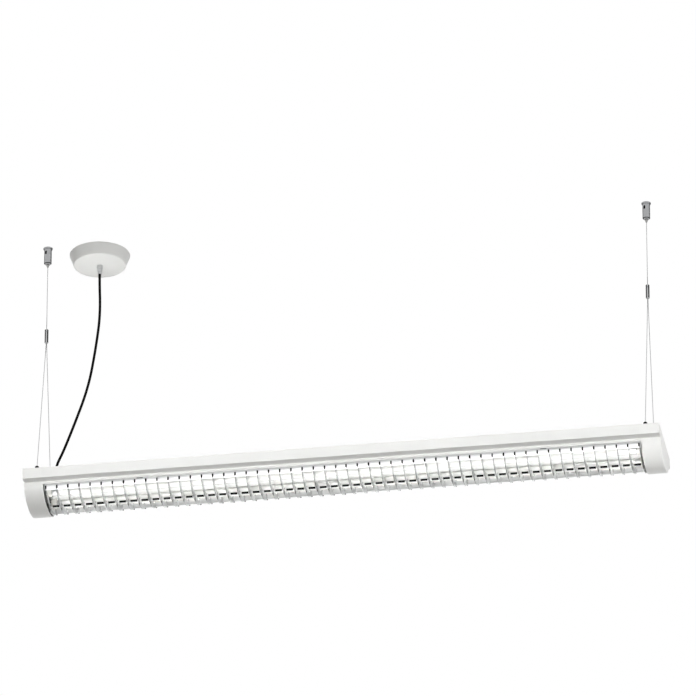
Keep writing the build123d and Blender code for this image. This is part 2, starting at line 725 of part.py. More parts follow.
def grip_barrel():
    """Right grip barrel: a hollow turning with a wire slot in its side."""
    spigot_z = GRIP_TOP_Z - SPIGOT_LENGTH - FIT
    barrel = upright(WIRE_PLACE, GRIP_BOTTOM_Z, GRIP_TOP_Z, GRIP_DIAMETER)
    barrel = chamfer(edges_at(barrel, Axis.Z, GRIP_BOTTOM_Z), GRIP_CHAMFER)
    barrel -= upright(WIRE_PLACE, spigot_z, GRIP_TOP_Z, SPIGOT_DIAMETER + 2 * RUNNING)
    barrel -= upright(WIRE_PLACE, GRIP_BOTTOM_Z + GRIP_FLOOR, spigot_z, GRIP_CAVITY)
    barrel -= upright(WIRE_PLACE, GRIP_BOTTOM_Z, GRIP_BOTTOM_Z + GRIP_FLOOR, PLUNGER_DIAMETER + 2 * RUNNING)
    slot = SlotOverall(SLOT_LENGTH, SLOT_WIDTH, rotation=90)
    heading = Vector(cos(radians(SLOT_ANGLE)), sin(radians(SLOT_ANGLE)), 0)
    centre = Vector(WIRE_X, 0, spigot_z - SLOT_LENGTH / 2 - AIR)
    window = Plane(origin=centre, x_dir=heading.cross(Vector(0, 0, 1)), z_dir=heading) * slot
    return barrel - extrude(window, GRIP_DIAMETER)


def release_plunger():
    """Right plunger: pushed up, it lifts the collet and lets the wire slide."""
    floor_z = GRIP_BOTTOM_Z + GRIP_FLOOR + FIT
    collar_z = floor_z + PLUNGER_COLLAR_HEIGHT
    neck_z = GRIP_BOTTOM_Z - PLUNGER_REACH / 2
    plunger = upright(WIRE_PLACE, floor_z, collar_z, PLUNGER_COLLAR)
    plunger += upright(WIRE_PLACE, neck_z, floor_z, PLUNGER_DIAMETER)
    plunger += upright(WIRE_PLACE, neck_z, NIPPLE_Z, PLUNGER_DIAMETER, PLUNGER_TIP)
    return plunger - upright(WIRE_PLACE, NIPPLE_Z, collar_z, WIRE_BORE)


def collet_levels():
    low = GRIP_BOTTOM_Z + GRIP_FLOOR + PLUNGER_COLLAR_HEIGHT + 2 * FIT
    return low, low + COLLET_HEIGHT


def grip_collet():
    """Right collet: a cone that wedges on the wire."""
    low, high = collet_levels()
    cone = upright(WIRE_PLACE, low, high, COLLET_LOW, GRIP_CAVITY - 4 * FIT)
    return cone - upright(WIRE_PLACE, low, high, WIRE_BORE)


def grip_spring():
    """Right return spring between the collet and the base's spigot, as a plain sleeve."""
    low = collet_levels()[1] + FIT
    high = GRIP_TOP_Z - SPIGOT_LENGTH - FIT
    sleeve = upright(WIRE_PLACE, low, high, SPRING_DIAMETER)
    return sleeve - upright(WIRE_PLACE, low, high, SPRING_DIAMETER - 2 * SPRING_WIRE)


def wire_tail():
    """Right wire tail, gripped in the barrel above the point where the wire flexes."""
    high = GRIP_TOP_Z - SPIGOT_LENGTH - SLOT_LENGTH / 2
    return upright(WIRE_PLACE, SWING_Z + AIR / 2, high, WIRE_DIAMETER)


# Canopy


def canopy_cup():
    """Tapered cup against the ceiling, with a hole for the stem."""
    rim, low = CANOPY_RIM / 2, CANOPY_BOTTOM / 2
    cup = upright(CANOPY_PLACE, -CANOPY_HEIGHT, 0, CANOPY_BOTTOM, CANOPY_RIM)
    cup = fillet(edges_at(cup, Axis.Z, -CANOPY_HEIGHT), CANOPY_EDGE)
    floor_z = -CANOPY_HEIGHT + CANOPY_WALL
    slope = (rim - low) / CANOPY_HEIGHT
    inside_low = 2 * (low + slope * CANOPY_WALL - CANOPY_WALL)
    hollow = upright(CANOPY_PLACE, floor_z, 0, inside_low, 2 * (rim - CANOPY_WALL))
    hollow = fillet(edges_at(hollow, Axis.Z, floor_z), CANOPY_EDGE - CANOPY_WALL / 2)
    hole = upright(CANOPY_PLACE, -CANOPY_HEIGHT, 0, STEM_DIAMETER + 2 * FIT)
    return cup - hollow - hole


def canopy_strap():
    """Steel strap screwed to the ceiling, which carries the stem."""
    length, width, thickness = STRAP
    strap = block((CANOPY_X - length / 2, CANOPY_X + length / 2),
                  (CANOPY_BACK - width / 2, CANOPY_BACK + width / 2), (-thickness, 0))
    for side in (-1, 1):
        x = CANOPY_X + side * STRAP_HOLE_SPACING / 2
        strap -= upright((x, CANOPY_BACK), -thickness, 0, STRAP_HOLE)
    return strap - upright(CANOPY_PLACE, -thickness, 0, STEM_DIAMETER + 2 * RUNNING)


def canopy_stem():
    """Threaded tube from the strap down through the cup, drawn without its thread."""
    low = -CANOPY_HEIGHT - CORD_GRIP_THREAD
    stem = upright(CANOPY_PLACE, low, 0, STEM_DIAMETER)
    return stem - upright(CANOPY_PLACE, low, 0, STEM_BORE)


def stem_nuts():
    """Hexagon nuts on the stem, one under the strap and one inside the cup's floor."""
    nuts = []
    strap_z = -STRAP[2]
    floor_z = -CANOPY_HEIGHT + CANOPY_WALL
    for levels in ((strap_z - NUT_HEIGHT, strap_z), (floor_z, floor_z + NUT_HEIGHT)):
        nut = hexagon(CANOPY_X, CANOPY_BACK, levels, NUT_ACROSS)
        hole = upright(CANOPY_PLACE, levels[0], levels[1], STEM_DIAMETER + 2 * RUNNING)
        nuts.append(nut - hole)
    return group(nuts)


def cord_grip():
    """Tapered grip screwed onto the stem under the canopy."""
    high = -CANOPY_HEIGHT
    low = high - CORD_GRIP_LENGTH
    thread = high - CORD_GRIP_THREAD - FIT
    axis = CANOPY_PLACE
    grip = upright(axis, thread, high, GRIP_TOP)
    grip += upright(axis, thread, low, GRIP_TOP - CORD_GRIP_STEP, GRIP_END)
    grip -= upright(axis, thread, high, STEM_DIAMETER + 2 * RUNNING)
    return grip - upright(axis, low, thread, CORD_DIAMETER + 2 * FIT)


def canopy_block():
    """Terminal block on the strap's underside, its wells facing down."""
    sx, sy, sz = CANOPY_BLOCK
    x = CANOPY_X + CANOPY_BLOCK_PLACE
    upright = connector(x, CANOPY_BACK, 0.0, CANOPY_BLOCK, "y")
    return Pos(0, 0, -STRAP[2]) * mirror(upright, about=Plane.XY)


# Cord and gland


def cord_gland():
    """Gland on the top plate: thread below, hexagon and tapered dome above."""
    hex_top = TOP + GLAND_HEX_HEIGHT
    dome_top = hex_top + GLAND_DOME_HEIGHT
    thread_low = TOP - GLAND_THREAD_LENGTH
    gland = hexagon(GLAND_X, 0.0, (TOP, hex_top), GLAND_HEX)
    gland += upright(GLAND_PLACE, hex_top, dome_top, GLAND_DOME, CORD_DIAMETER + 2 * GLAND_LIP)
    gland += upright(GLAND_PLACE, thread_low, TOP, GLAND_THREAD)
    return gland - upright(GLAND_PLACE, thread_low, dome_top, CORD_DIAMETER + 2 * FIT)


def gland_nut():
    """Lock nut of the gland under the top plate."""
    high = TOP - SHEET
    low = high - GLAND_HEX_HEIGHT
    nut = hexagon(GLAND_X, 0.0, (low, high), GLAND_HEX)
    return nut - upright(GLAND_PLACE, low, high, GLAND_THREAD + 2 * RUNNING)


def corner_radii(route):
    """The largest bend that each corner of a route leaves room for."""
    radii = []
    for before, here, after in zip(route, route[1:], route[2:]):
        arriving = Vector(*here) - Vector(*before)
        leaving = Vector(*after) - Vector(*here)
        half_turn = radians(arriving.get_angle(leaving)) / 2
        radii.append(0.45 * min(arriving.length, leaving.length) / tan(half_turn))
    return radii


def power_cord():
    """Round cord along its route of straight runs and tangent bends."""
    radii = corner_radii(CORD_ROUTE)
    path = FilletPolyline(*CORD_ROUTE, radius=radii)
    start = Plane(origin=CORD_START, z_dir=path % 0)
    cord = sweep(start * Circle(CORD_DIAMETER / 2), path=path)
    expected = path.length * pi * (CORD_DIAMETER / 2) ** 2
    print("cord radii", [round(radius) for radius in radii])
    print("cord length", round(path.length, 1))
    print("cord volume", round(cord.volume, 1), "against", round(expected, 1))
    return cord


def add_ends(name, right_piece):
    """Keeps a right-hand piece and its mirror image at the left end."""
    nodes[name + "_right"] = right_piece
    nodes[name + "_left"] = flipped(right_piece)


def main():
    nodes["housing"] = housing()
    add_ends("end_cap", end_cap())
    nodes["cap_screws"] = cap_screws()
    nodes["reflector_tray"] = reflector_tray()
    nodes["ballast"] = ballast()
    nodes["ballast_screws"] = ballast_screws()
    nodes["terminal_block"] = terminal_block()
    for place, lamp_y in lamp_ys().items():
        add_ends("lampholder_" + place, lampholder(lamp_y))
        right_rotor = rotor(lamp_y)
        right_base = lamp_base(lamp_y)
        nodes["rotors_" + place] = group([right_rotor, flipped(right_rotor)])
        nodes["lamp_glass_" + place] = lamp_glass(lamp_y)
        nodes["lamp_bases_" + place] = group([right_base, flipped(right_base)])
    front_rail = louvre_rail()
    nodes["louvre_blades"] = louvre_blades()
    nodes["louvre_rail_front"] = front_rail
    nodes["louvre_rail_rear"] = mirror(front_rail, about=Plane.XZ)
    nodes["louvre_spine"] = louvre_spine()
    add_ends("louvre_pivot", louvre_pivot())
    add_ends("catch_spring", catch_spring())
    nodes["wire_plugs"] = wire_plugs()
    for place, side in (("front", -1), ("rear", 1)):
        add_ends("wire_strand_" + place, strand(side))
    add_ends("upper_wire", upper_wire())
    add_ends("wire_splitter", wire_splitter())
    add_ends("splitter_screws", splitter_screws())
    add_ends("holder_base", holder_base())
    right_barrel = grip_barrel()
    nodes["grip_barrel_right"] = right_barrel
    nodes["grip_barrel_left"] = Pos(-2 * WIRE_X, 0, 0) * right_barrel
    add_ends("release_plunger", release_plunger())
    add_ends("grip_collet", grip_collet())
    add_ends("grip_spring", grip_spring())
    add_ends("wire_tail", wire_tail())
    nodes["canopy_cup"] = canopy_cup()
    nodes["canopy_strap"] = canopy_strap()
    nodes["canopy_stem"] = canopy_stem()
    nodes["stem_nuts"] = stem_nuts()
    nodes["cord_grip"] = cord_grip()
    nodes["canopy_block"] = canopy_block()
    nodes["cord_gland"] = cord_gland()
    nodes["gland_nut"] = gland_nut()
    nodes["power_cord"] = power_cord()
    os.makedirs("parts", exist_ok=True)
    for name, shape in nodes.items():
        export_step(shape, "parts/" + name + ".step")
    print(len(nodes), "nodes")


main()
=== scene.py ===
# %% [markdown]
# A hanging office light, dressed in Blender.
# The shapes come from the CAD frame: a white folded housing, two tube lamps behind a bright louvre,
# wire hangers and a ceiling canopy with its black cord.
# This lesson loads that frame, sets the camera, makes the cord and a few fine pieces, and gives every
# piece its finish.

# %% Load the frame
import math

import bmesh
import bpy
from mathutils import Matrix, Vector


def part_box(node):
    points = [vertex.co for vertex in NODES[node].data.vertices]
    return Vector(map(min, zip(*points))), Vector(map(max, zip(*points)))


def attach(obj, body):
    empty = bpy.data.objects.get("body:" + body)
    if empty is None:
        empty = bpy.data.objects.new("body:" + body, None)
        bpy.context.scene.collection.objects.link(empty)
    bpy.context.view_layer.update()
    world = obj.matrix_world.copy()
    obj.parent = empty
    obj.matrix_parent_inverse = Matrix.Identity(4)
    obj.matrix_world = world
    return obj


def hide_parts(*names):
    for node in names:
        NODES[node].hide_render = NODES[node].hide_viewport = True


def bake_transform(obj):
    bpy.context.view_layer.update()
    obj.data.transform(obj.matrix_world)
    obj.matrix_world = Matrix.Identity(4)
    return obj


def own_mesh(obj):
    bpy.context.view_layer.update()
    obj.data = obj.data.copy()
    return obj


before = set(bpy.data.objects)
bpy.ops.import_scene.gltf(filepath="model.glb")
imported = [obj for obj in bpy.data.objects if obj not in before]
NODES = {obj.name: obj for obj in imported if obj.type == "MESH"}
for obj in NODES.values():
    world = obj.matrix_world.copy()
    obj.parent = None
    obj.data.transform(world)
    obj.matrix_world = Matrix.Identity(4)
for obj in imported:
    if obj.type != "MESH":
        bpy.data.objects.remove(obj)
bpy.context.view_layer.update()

MM = 0.001

# %% [markdown]
# Most new shapes in this lesson are built as a bmesh, become a mesh, and are shown by an object.
# Two short functions do those last two steps.
# A piece keeps its place in its mesh, so its object stays at the origin, as a CAD node's does.

# %% Helpers for objects


def mesh_of(name, shape):
    """Turns a bmesh into a mesh and frees the bmesh."""
    mesh = bpy.data.meshes.new(name)
    shape.to_mesh(mesh)
    shape.free()
    return mesh


def new_object(name, data):
    made = bpy.data.objects.new(name, data)
    bpy.context.scene.collection.objects.link(made)
    return made


print("helpers: mesh_of, new_object")

# %% [markdown]
# The camera comes early, because every later choice is judged through it.
# The light is seen from below and from a little to its right.
# A long lens from far away keeps its far end hardly smaller than its near end.
# A yaw and a pitch are easier to adjust by eye than three angles of rotation.

# %% Camera
IMAGE_PIXELS = 696
FOCAL_PIXELS = 9000
SENSOR_MM = 36.0
FAR_CLIP = 200.0
CAMERA_PLACE = Vector((2.4939, -15.4509, -8.3550))
CAMERA_YAW = math.radians(-9.1523)
CAMERA_PITCH = math.radians(27.3189)

look = Vector((
    math.sin(CAMERA_YAW) * math.cos(CAMERA_PITCH),
    math.cos(CAMERA_YAW) * math.cos(CAMERA_PITCH),
    math.sin(CAMERA_PITCH),
))
camera_data = bpy.data.cameras.new("camera")
camera_data.sensor_width = SENSOR_MM
camera_data.lens = SENSOR_MM * FOCAL_PIXELS / IMAGE_PIXELS
camera_data.clip_end = FAR_CLIP
camera = new_object("camera", camera_data)
camera.location = CAMERA_PLACE
camera.rotation_euler = look.to_track_quat("-Z", "Y").to_euler()
bpy.context.scene.camera = camera
bpy.context.scene.view_settings.view_transform = "Standard"
print("camera: lens", round(camera_data.lens, 1), "mm")

# %% [markdown]
# Colours are written as the hex values that a colour picker shows, and one function turns them to the
# linear numbers that a shader works with.
# One more function adds a node, sets it and links it, so that each material below reads as a list of
# its nodes.

# %% Helpers for materials


def colour(hex_text):
    channels = [int(hex_text[i:i + 2], 16) / 255 for i in (1, 3, 5)]
    linear = [c / 12.92 if c <= 0.04045 else ((c + 0.055) / 1.055) ** 2.4 for c in channels]
    return (*linear, 1.0)


def per_metre(size_mm):
    """A texture scale whose features are about this size, on coordinates in metres."""
    return 1 / (size_mm * MM)


def add(tree, kind, inputs=None, **settings):
    made = tree.nodes.new(kind)
    for name, value in settings.items():
        setattr(made, name, value)
    for socket, value in (inputs or {}).items():
        if isinstance(value, bpy.types.NodeSocket):
            tree.links.new(value, made.inputs[socket])
        else:
            made.inputs[socket].default_value = value
    return made


def bare_material(name):
    made = bpy.data.materials.new(name)
    made.use_nodes = True
    made.node_tree.nodes.clear()
    return made, made.node_tree


def new_material(name):
    made, tree = bare_material(name)
    shader = add(tree, "ShaderNodeBsdfPrincipled")
    add(tree, "ShaderNodeOutputMaterial", {"Surface": shader.outputs["BSDF"]})
    place = add(tree, "ShaderNodeTexCoord").outputs["Object"]
    return made, tree, shader, place


print("helpers: colour, per_metre, add, bare_material, new_material")

# %% [markdown]
# The power cord is a round three-core flex with a black sheath.
# It leaves the grip under the canopy, hangs down under its own weight, and goes into a gland on the
# housing.
# A smooth NURBS line along the listed route gives its lie, and a round bevel gives its thickness.
# It is made a mesh.

# %% Cord
CORD_DIAMETER = 5.2 * MM
CORD_ORDER = 3
CORD_STEPS = 10
CORD_ROUNDNESS = 5
CORD_ROUTE_MM = [
    (-501.0, 45.0, -42.0),
    (-500.7, 44.8, -70.0),
    (-498.6, 42.0, -108.0),
    (-498.6, 37.5, -150.0),
    (-501.6, 31.5, -192.0),
    (-506.5, 25.5, -240.0),
    (-513.0, 20.5, -288.0),
    (-523.0, 16.0, -332.0),
    (-536.5, 12.0, -376.0),
    (-550.0, 7.5, -419.0),
    (-562.5, 3.6, -456.0),
    (-573.5, 0.8, -482.0),
    (-576.0, 0.0, -504.0),
]
CORD_ROUTE = [Vector(point) * MM for point in CORD_ROUTE_MM]


def cord_mesh(name, bevel):
    data = bpy.data.curves.new(name, "CURVE")
    data.dimensions = "3D"
    spline = data.splines.new("NURBS")
    spline.points.add(len(CORD_ROUTE) - 1)
    for control, place in zip(spline.points, CORD_ROUTE):
        control.co = (*place, 1.0)
    spline.order_u = CORD_ORDER
    spline.use_endpoint_u = True
    spline.resolution_u = CORD_STEPS
    data.bevel_depth = bevel
    data.bevel_resolution = CORD_ROUNDNESS
    data.use_fill_caps = True
    curve = new_object(name, data)
    graph = bpy.context.evaluated_depsgraph_get()
    mesh = bpy.data.meshes.new_from_object(curve.evaluated_get(graph))
    bpy.data.objects.remove(curve)
    bpy.data.curves.remove(data)
    return mesh


cord_line = [v.co.copy() for v in cord_mesh("cord_line", 0.0).vertices]
cord = new_object("power_cord_sheath", cord_mesh("power_cord_sheath", CORD_DIAMETER / 2))
cord.data.shade_smooth()
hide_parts("power_cord")
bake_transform(cord)

# %% [markdown]
# The hangers are steel rope, with six strands twisted round a core, so that such a thin wire doesn't
# kink.
# Each strand could be a curve of its own, but a twist is what the spin operator makes when it climbs as
# it turns.
# So a cross-section of seven small rounds is spun about the wire's axis, and then laid between the
# wire's ends.
# The slanting wires end in a ball that holds them under the plugs.

# %% Wire ropes
ROPE_DIAMETER = 1.5 * MM
ROPE_LAY = 15.0 * MM
ROPE_STRANDS = 6
STRAND_SIDES = 6
STEPS_PER_LAY = 10
BALL_DIAMETER = 4.0 * MM
BALL_SEGMENTS = 16
BALL_RINGS = 10
# Both ends of a slanting wire, each by its distance from the middle and its height.
STRAND_TOP_MM = (0.87, -206.0)
STRAND_BALL_MM = (74.56, -529.0)
END_SIDES = {"left": -1, "right": 1}


def twist(shape, rise, turns, steps_per_turn):
    """Spins all of a bmesh about Z while it climbs."""
    steps = round(turns * steps_per_turn)
    everything = shape.verts[:] + shape.edges[:] + shape.faces[:]
    bmesh.ops.spin(shape, geom=everything, cent=(0.0, 0.0, 0.0), axis=(0.0, 0.0, 1.0),
                   dvec=(0.0, 0.0, rise / steps), angle=turns * math.tau, steps=steps, use_merge=False)
    bmesh.ops.recalc_face_normals(shape, faces=shape.faces)


def finished_piece(name, shape, body, slot, *nodes):
    """Makes a bmesh a smooth piece that stands for CAD nodes and moves with a body."""
    for face in shape.faces:
        face.smooth = True
    piece = new_object(name, mesh_of(name, shape))
    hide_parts(*nodes)
    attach(piece, body)
    return piece


def wire_rope(start, end):
    run = end - start
    # A strand, the core and another strand lie side by side across the rope.
    radius = ROPE_DIAMETER / 3 / 2
    shape = bmesh.new()
    bmesh.ops.create_circle(shape, cap_ends=True, segments=STRAND_SIDES, radius=radius)
    for turn in range(ROPE_STRANDS):
        around = Matrix.Rotation(turn * math.tau / ROPE_STRANDS, 3, "Z") @ Vector((2 * radius, 0.0, 0.0))
        made = bmesh.ops.create_circle(shape, cap_ends=True, segments=STRAND_SIDES, radius=radius)
        bmesh.ops.translate(shape, vec=around, verts=made["verts"])
    twist(shape, run.length, run.length / ROPE_LAY, STEPS_PER_LAY)
    aim = Matrix.Translation(start) @ run.to_track_quat("Z", "Y").to_matrix().to_4x4()
    bmesh.ops.transform(shape, matrix=aim, verts=shape.verts)
    return shape


ROPES = []
for end_name in END_SIDES:
    name = "upper_wire_" + end_name
    low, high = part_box(name)
    wire_x = (low[0] + high[0]) / 2
    upper = wire_rope(Vector((wire_x, 0.0, high[2])), Vector((wire_x, 0.0, low[2])))
    ROPES.append(finished_piece("rope_" + name, upper, "luminaire", "steel_wire", name))
    for place, way in (("front", -1), ("rear", 1)):
        top = Vector((wire_x, way * STRAND_TOP_MM[0] * MM, STRAND_TOP_MM[1] * MM))
        ball = Vector((wire_x, way * STRAND_BALL_MM[0] * MM, STRAND_BALL_MM[1] * MM))
        slanting = wire_rope(top, ball)
        bmesh.ops.create_uvsphere(slanting, u_segments=BALL_SEGMENTS, v_segments=BALL_RINGS,
                                  radius=BALL_DIAMETER / 2, matrix=Matrix.Translation(ball))
        name = "wire_strand_" + place + "_" + end_name
        ROPES.append(finished_piece("rope_" + name, slanting, "luminaire", "steel_wire", name))
print("ropes:", len(ROPES), "with", sum(len(rope.data.polygons) for rope in ROPES), "faces")

# %% [markdown]
# Each ceiling holder grips its wire with a small cone, and a coil spring pushes that cone down.
# The slot in the holder's side shows a little of the spring, so it gets real turns.
# The same climbing spin makes them, from one round section beside the axis.
# For a press that shortens it, the function also works out the point that stays at its upper end and the
# share of its height that the press leaves.

# %% Return springs
SPRING_DIAMETER = 8.0 * MM
SPRING_WIRE = 0.9 * MM
SPRING_SIDES = 8
SPRING_TURNS = 6
SPRING_STEPS = 18
PRESS_TRAVEL = 3.0 * MM


def coil_spring(node_name):
    """The spring's bmesh, the point that stays, and the share of its height that a press leaves."""
    low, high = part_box(node_name)
    height = high[2] - low[2]
    shape = bmesh.new()
    bmesh.ops.create_circle(shape, cap_ends=True, segments=SPRING_SIDES, radius=SPRING_WIRE / 2)
    upright = Matrix.Rotation(math.radians(90), 3, "X")
    bmesh.ops.rotate(shape, cent=(0.0, 0.0, 0.0), matrix=upright, verts=shape.verts)
    beside = (SPRING_DIAMETER - SPRING_WIRE) / 2
    bmesh.ops.translate(shape, vec=(beside, 0.0, SPRING_WIRE / 2), verts=shape.verts)
    twist(shape, height - SPRING_WIRE, SPRING_TURNS, SPRING_STEPS)
    wire_x = (low[0] + high[0]) / 2
    bmesh.ops.translate(shape, vec=(wire_x, 0.0, low[2]), verts=shape.verts)
    anchor = (wire_x, 0.0, high[2])
    return shape, anchor, (height - PRESS_TRAVEL) / height


SPRINGS = []
for end_name in END_SIDES:
    name = "grip_spring_" + end_name
    shape, anchor, share = coil_spring(name)
    spring = finished_piece("coil_" + name, shape, "ceiling", "spring_steel", name)
    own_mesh(spring)
    SPRINGS.append(spring)
print("springs:", [spring.name for spring in SPRINGS])

# %% [markdown]
# Four pan-head screws hold the end caps to the top plate.
# A head is a disc with a bevelled edge, and its cross recess is a sunken part of its top face.
# Cutting planes mark the cross on the top face, and the faces inside it are extruded downwards.

# %% Cap screws
HEAD_DIAMETER = 6.0 * MM
HEAD_HEIGHT = 2.0 * MM
HEAD_EDGE = 0.9 * MM
HEAD_SIDES = 24
EDGE_STEPS = 4
SHANK_DIAMETER = 3.0 * MM
SHANK_LENGTH = 9.8 * MM
SHANK_SIDES = 16
CROSS_REACH = 1.5 * MM
CROSS_WIDTH = 0.8 * MM
CROSS_DEPTH = 1.1 * MM
TOP_FACE = HEAD_HEIGHT - 0.01 * MM
CUT_SNAP = 0.0001 * MM
SHARP_ANGLE = math.radians(40)


def pan_screw():
    """A screw whose head rests on the plane of X and Y."""
    shape = bmesh.new()
    bmesh.ops.create_cone(shape, cap_ends=True, segments=HEAD_SIDES, radius1=HEAD_DIAMETER / 2,
                          radius2=HEAD_DIAMETER / 2, depth=HEAD_HEIGHT,
                          matrix=Matrix.Translation((0.0, 0.0, HEAD_HEIGHT / 2)))
    rim = [e for e in shape.edges if all(v.co.z > HEAD_HEIGHT / 2 for v in e.verts)]
    bmesh.ops.bevel(shape, geom=rim, offset=HEAD_EDGE, offset_type="OFFSET", segments=EDGE_STEPS,
                    profile=0.5, affect="EDGES", material=-1)
    for axis in ((1.0, 0.0, 0.0), (0.0, 1.0, 0.0)):
        for place in (-CROSS_REACH, -CROSS_WIDTH / 2, CROSS_WIDTH / 2, CROSS_REACH):
            top = [f for f in shape.faces if f.calc_center_median().z > TOP_FACE]
            edges = {e for f in top for e in f.edges}
            verts = {v for f in top for v in f.verts}
            bmesh.ops.bisect_plane(shape, geom=top + list(edges) + list(verts), dist=CUT_SNAP,
                                   plane_co=[place * part for part in axis], plane_no=axis)
    cross = []
    for face in shape.faces:
        middle = face.calc_center_median()
        near, far = sorted((abs(middle.x), abs(middle.y)))
        if middle.z > TOP_FACE and near < CROSS_WIDTH / 2 and far < CROSS_REACH:
            cross.append(face)
    sunk = bmesh.ops.extrude_face_region(shape, geom=cross)["geom"]
    floor_verts = [part for part in sunk if isinstance(part, bmesh.types.BMVert)]
    bmesh.ops.translate(shape, vec=(0.0, 0.0, -CROSS_DEPTH), verts=floor_verts)
    bmesh.ops.create_cone(shape, cap_ends=True, segments=SHANK_SIDES, radius1=SHANK_DIAMETER / 2,
                          radius2=SHANK_DIAMETER / 2, depth=SHANK_LENGTH,
                          matrix=Matrix.Translation((0.0, 0.0, -SHANK_LENGTH / 2)))
    return shape


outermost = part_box("cap_screws")[1]
screws = bmesh.new()
for x_side in (-1, 1):
    for y_side in (-1, 1):
        one = pan_screw()
        head_x = x_side * (outermost[0] - HEAD_DIAMETER / 2)
        head_y = y_side * (outermost[1] - HEAD_DIAMETER / 2)
        seat = (head_x, head_y, outermost[2] - HEAD_HEIGHT)
        bmesh.ops.translate(one, vec=seat, verts=one.verts)
        one_mesh = mesh_of("one_screw", one)
        screws.from_mesh(one_mesh)
        bpy.data.meshes.remove(one_mesh)
cap_screws = finished_piece("cross_cap_screws", screws, "luminaire", "zinc_steel", "cap_screws")
cap_screws.data.set_sharp_from_angle(angle=SHARP_ANGLE)
print("cap screws:", len(cap_screws.data.polygons), "faces")

# %% [markdown]
# The housing and the tray inside it are steel sheet with a white powder coat, and the tray's is
# painted a brighter white, as painted light for the shade it lies in behind the louvre.
# A powder coat flows out in the oven to a satin skin with a faint orange peel, about two millimetres
# across.
# A noise of that size drives a shallow bump, and a much larger one keeps the white from being one flat
# tone.

# %% White powder coat
CLOUD_MM = 260.0
PEEL_MM = 2.0
PEEL_DEPTH = 0.2 * MM
COAT_ROUGHNESS = (0.36, 0.44)


def white_powder_coat(name, pale, deep):
    made, tree, shader, place = new_material(name)
    clouds = add(tree, "ShaderNodeTexNoise", {
        "Vector": place, "Scale": per_metre(CLOUD_MM), "Detail": 2.0})
    tint = add(tree, "ShaderNodeMix", {
        "Factor": clouds.outputs["Fac"], "A": colour(pale), "B": colour(deep)}, data_type="RGBA")
    tree.links.new(tint.outputs["Result"], shader.inputs["Base Color"])
    peel = add(tree, "ShaderNodeTexNoise", {
        "Vector": place, "Scale": per_metre(PEEL_MM), "Detail": 1.0})
    relief = add(tree, "ShaderNodeBump", {
        "Height": peel.outputs["Fac"], "Strength": 0.02, "Distance": PEEL_DEPTH})
    tree.links.new(relief.outputs["Normal"], shader.inputs["Normal"])
    gloss = add(tree, "ShaderNodeMapRange", {
        "Value": peel.outputs["Fac"], "To Min": COAT_ROUGHNESS[0], "To Max": COAT_ROUGHNESS[1]})
    tree.links.new(gloss.outputs["Result"], shader.inputs["Roughness"])
    return made


housing_coat = white_powder_coat("white_powder_coat", "#F1F1EF", "#EBEBE9")
# Painted light: the tray's white is raised to make up for the shade it lies in.
reflector_coat = white_powder_coat("tray_coat_painted_brighter", "#F9F9F8", "#F4F4F3")
print("made", housing_coat.name, "and", reflector_coat.name)

# %% [markdown]
# The end caps, the canopy, the lampholders, the terminal blocks and the ballast's case are moulded
# plastics in several whites, and the cord's gland is a grey one.
# Each mould leaves a fine spark-eroded grain that makes the shine soft and even.
# The real grain is finer still, and it is drawn more than half a millimetre wide to show up close.
# The recipe is the same, so one function makes all six from their colours, grain and roughness.

# %% Moulded plastics
FLOW_MM = 60.0
GRAIN_DEPTH = 0.1 * MM
GRAIN_GLOSS = 0.04
PLASTIC_IOR = 1.53


def moulded_plastic(name, pale, deep, grain_mm, roughness):
    made, tree, shader, place = new_material(name)
    flow = add(tree, "ShaderNodeTexNoise", {
        "Vector": place, "Scale": per_metre(FLOW_MM), "Detail": 3.0})
    tint = add(tree, "ShaderNodeMix", {
        "Factor": flow.outputs["Fac"], "A": colour(pale), "B": colour(deep)}, data_type="RGBA")
    tree.links.new(tint.outputs["Result"], shader.inputs["Base Color"])
    grain = add(tree, "ShaderNodeTexNoise", {
        "Vector": place, "Scale": per_metre(grain_mm), "Detail": 2.0})
    relief = add(tree, "ShaderNodeBump", {
        "Height": grain.outputs["Fac"], "Strength": 0.08, "Distance": GRAIN_DEPTH})
    tree.links.new(relief.outputs["Normal"], shader.inputs["Normal"])
    gloss = add(tree, "ShaderNodeMapRange", {
        "Value": grain.outputs["Fac"],
        "To Min": roughness - GRAIN_GLOSS, "To Max": roughness + GRAIN_GLOSS})
    tree.links.new(gloss.outputs["Result"], shader.inputs["Roughness"])
    shader.inputs["IOR"].default_value = PLASTIC_IOR
    return made


cap_abs = moulded_plastic("white_cap_abs", "#F2F2F0", "#EEEEEC", 0.8, 0.42)
canopy_plastic = moulded_plastic("white_canopy_polycarbonate", "#D8D8D6", "#D2D2D0", 0.8, 0.45)
holder_pbt = moulded_plastic("white_holder_pbt", "#ECEBE6", "#E4E3DD", 0.6, 0.55)
terminal_plastic = moulded_plastic("pale_terminal_polyamide", "#E3E2D8", "#D9D8CC", 0.6, 0.55)
ballast_plastic = moulded_plastic("ballast_case_polycarbonate", "#E6E6E3", "#DCDCD9", 0.8, 0.5)
gland_plastic = moulded_plastic("grey_gland_polyamide", "#8E9092", "#848688", 0.6, 0.5)
print("made six moulded plastics, from", cap_abs.name, "to", gland_plastic.name)

# %% [markdown]
# The louvre's blades are crescents of sheet that go through slots in the rails and hold a spine in a notch.
# Their bent tabs and their collars at the spine get painted shade, as dark as the shadow in the slots
# and the notch, and so do their cut edges, less on the rear half, which light from behind and below
# reaches.
# The spine gets painted shade between the blades and stays bright where they cross it.
# The CAD meshes stay unchanged, so these parts aren't cut out: the material finds each one by its place
# and by the way it faces.

# %% Painted shade on the louvre
BLADE_PITCH = 22.0 * MM
# A face whose normal has less than this along X is a cut edge.
EDGE_FACING = 0.5
# Shares of painted shade on the cut edges of the front half and of the rear half.
FRONT_EDGE = 0.9
REAR_EDGE = 0.5
TAB_START = 58.0 * MM
COLLAR_HALF = 4.0 * MM
DASH_HALF = 6.8 * MM


